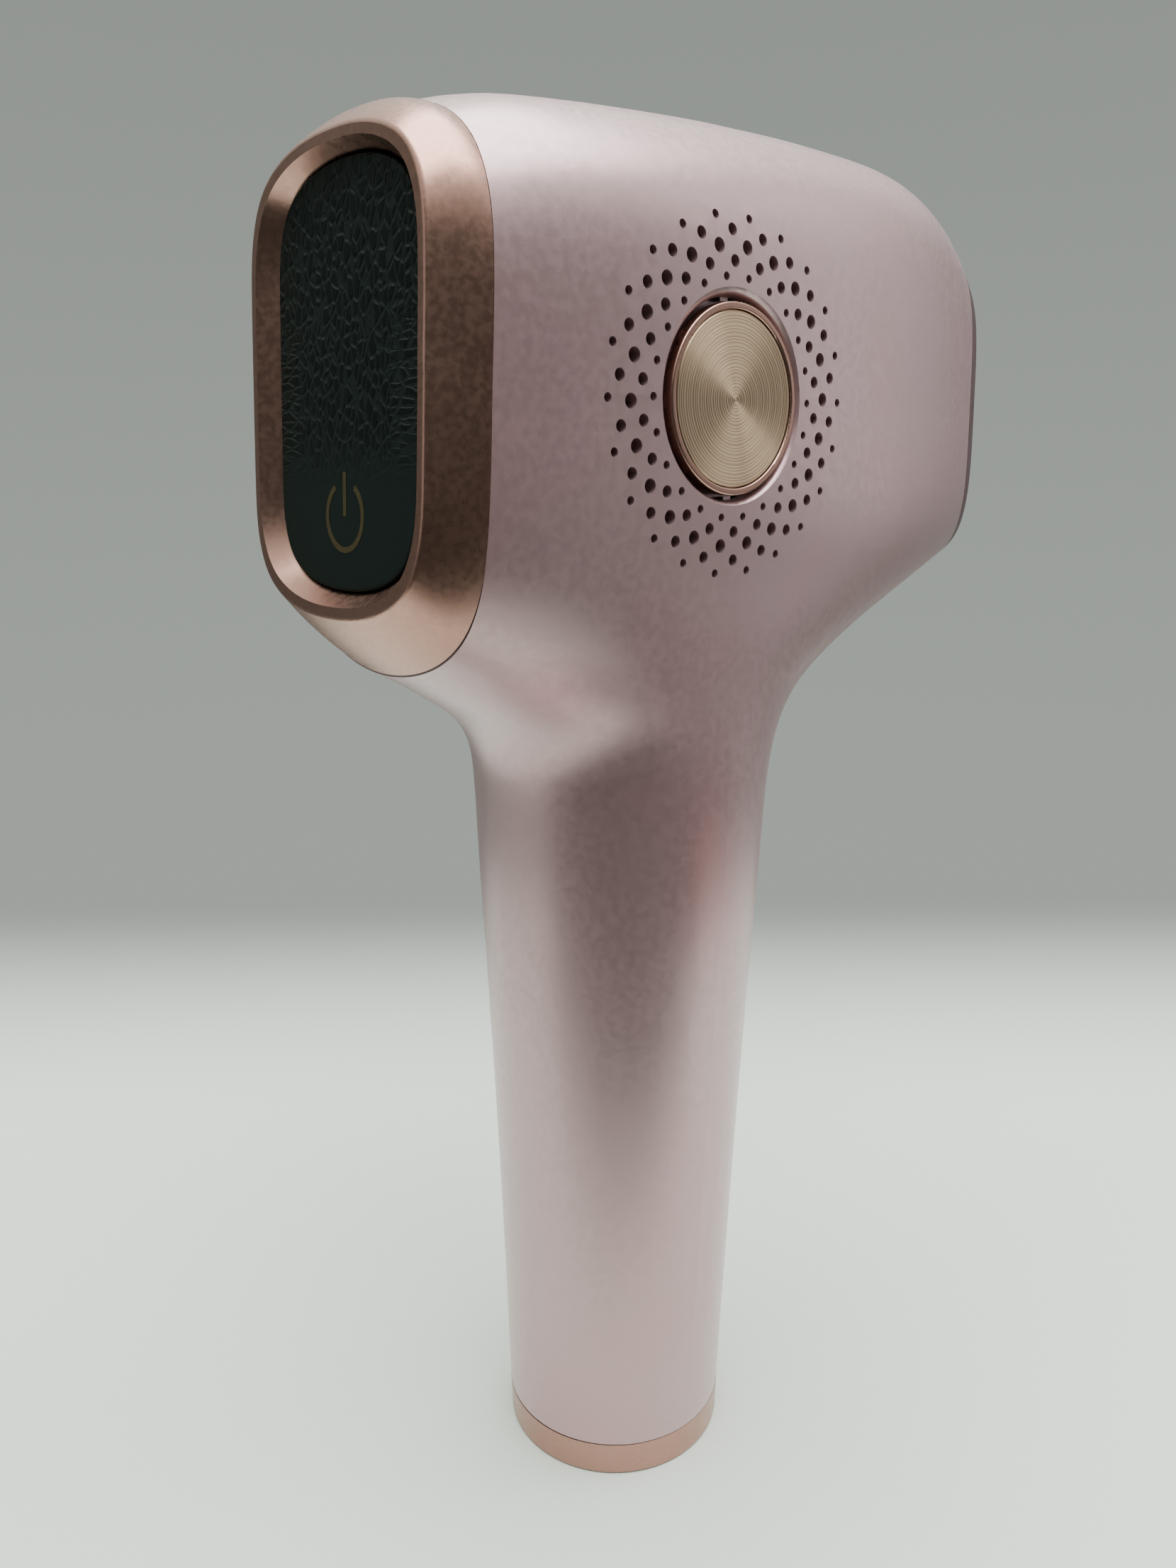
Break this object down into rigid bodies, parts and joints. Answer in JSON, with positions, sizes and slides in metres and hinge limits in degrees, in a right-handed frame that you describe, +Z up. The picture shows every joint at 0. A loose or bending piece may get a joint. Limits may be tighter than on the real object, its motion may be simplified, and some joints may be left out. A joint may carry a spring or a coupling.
{
  "type": "ipl hair remover",
  "caption": "Pistol-shaped flash hair remover: round handle, long oval head with a display panel at one end, a flash window at the other, and a disc ringed with vent holes on each side.",
  "frame": {"origin": "centre of the base's bottom face, on the handle's axis, at the mouth of the power socket", "axes": "+Z up the handle; +Y out of the flash window, -Y out of the display; +X and -X out of the two vented sides"},
  "size_m": [0.044, 0.1125, 0.1977],
  "materials": {
    "shell_paint": "pearlescent satin paint, dusty pink",
    "rose_metal": "satin rose-gold plating",
    "black_panel": "gloss black with a fine embossed cell pattern",
    "gold_symbol": "dull gold print",
    "spun_disc": "spun champagne metal, fine concentric grooves",
    "fine_mesh": "fine woven steel mesh",
    "fan_plastic": "matt black moulding",
    "blade_plastic": "matt dark grey moulding",
    "steel": "plain bright steel",
    "bronze": "sintered bronze",
    "copper_winding": "lacquered copper wire",
    "frame_plastic": "natural grey moulding",
    "flash_rim": "dark plum gloss",
    "contact_metal": "polished contact plate",
    "filter_glass": "amber filter glass",
    "seal_rubber": "black silicone",
    "sensor_metal": "polished",
    "ceramic_white": "white heat-proof moulding",
    "mirror_metal": "polished reflector sheet",
    "lamp_glass": "clear quartz tube",
    "sink_aluminium": "extruded, unpainted",
    "board_green": "circuit board",
    "led_white": "diffusing light caps",
    "capacitor_sleeve": "shrink sleeve",
    "ferrite": "ferrite core and tape",
    "chip_black": "moulded component body",
    "button_pink": "satin rose moulding",
    "jack_plastic": "matt black moulding"
  },
  "bodies": {
    "handset": {"main_housing": "shell_paint", "bezel_frame": "rose_metal", "display_window": "black_panel", "power_icon": "gold_symbol", "display_board": "board_green", "display_leds": "led_white", "touch_spring": "steel", "disc_ring_right": "rose_metal", "disc_ring_left": "rose_metal", "disc_insert_right": "spun_disc", "disc_insert_left": "spun_disc", "vent_filter_right": "fine_mesh", "vent_filter_left": "fine_mesh", "fan_frame": "fan_plastic", "fan_bearing": "bronze", "fan_stator": "copper_winding", "inner_frame": "frame_plastic", "fan_screws": "steel", "flash_frame": "flash_rim", "contact_plate": "contact_metal", "filter_glass": "filter_glass", "window_gasket": "seal_rubber", "skin_sensors": "sensor_metal", "lamp_holder": "ceramic_white", "reflector": "mirror_metal", "xenon_lamp": "lamp_glass", "lamp_terminals": "steel", "heat_sink": "sink_aluminium", "trigger_coil": "copper_winding", "main_board": "board_green", "main_capacitor": "capacitor_sleeve", "capacitor_clip": "frame_plastic", "charging_transformer": "ferrite", "power_transistor": "chip_black", "trigger_switch": "chip_black", "button_board": "board_green", "button_spring": "steel", "base_cap": "rose_metal", "cap_screws": "steel", "dc_jack": "jack_plastic", "jack_pin": "steel"},
    "fan": {"fan_rotor": "blade_plastic", "fan_shaft": "steel"},
    "button": {"flash_button": "button_pink", "switch_plunger": "chip_black"}
  },
  "joints": [
    {"name": "fan_spin", "type": "hinge", "parent": "handset", "child": "fan", "pos_m": [0, 0.001, 0.1605], "axis": [1, 0, 0], "continuous": true},
    {"name": "flash_press", "type": "slide", "parent": "handset", "child": "button", "axis": [0, -1, 0], "range_m": [0, 0.001], "stiffness_N_per_m": 600, "springref_m": -0.0005, "deforming": ["button_spring"]}
  ]
}
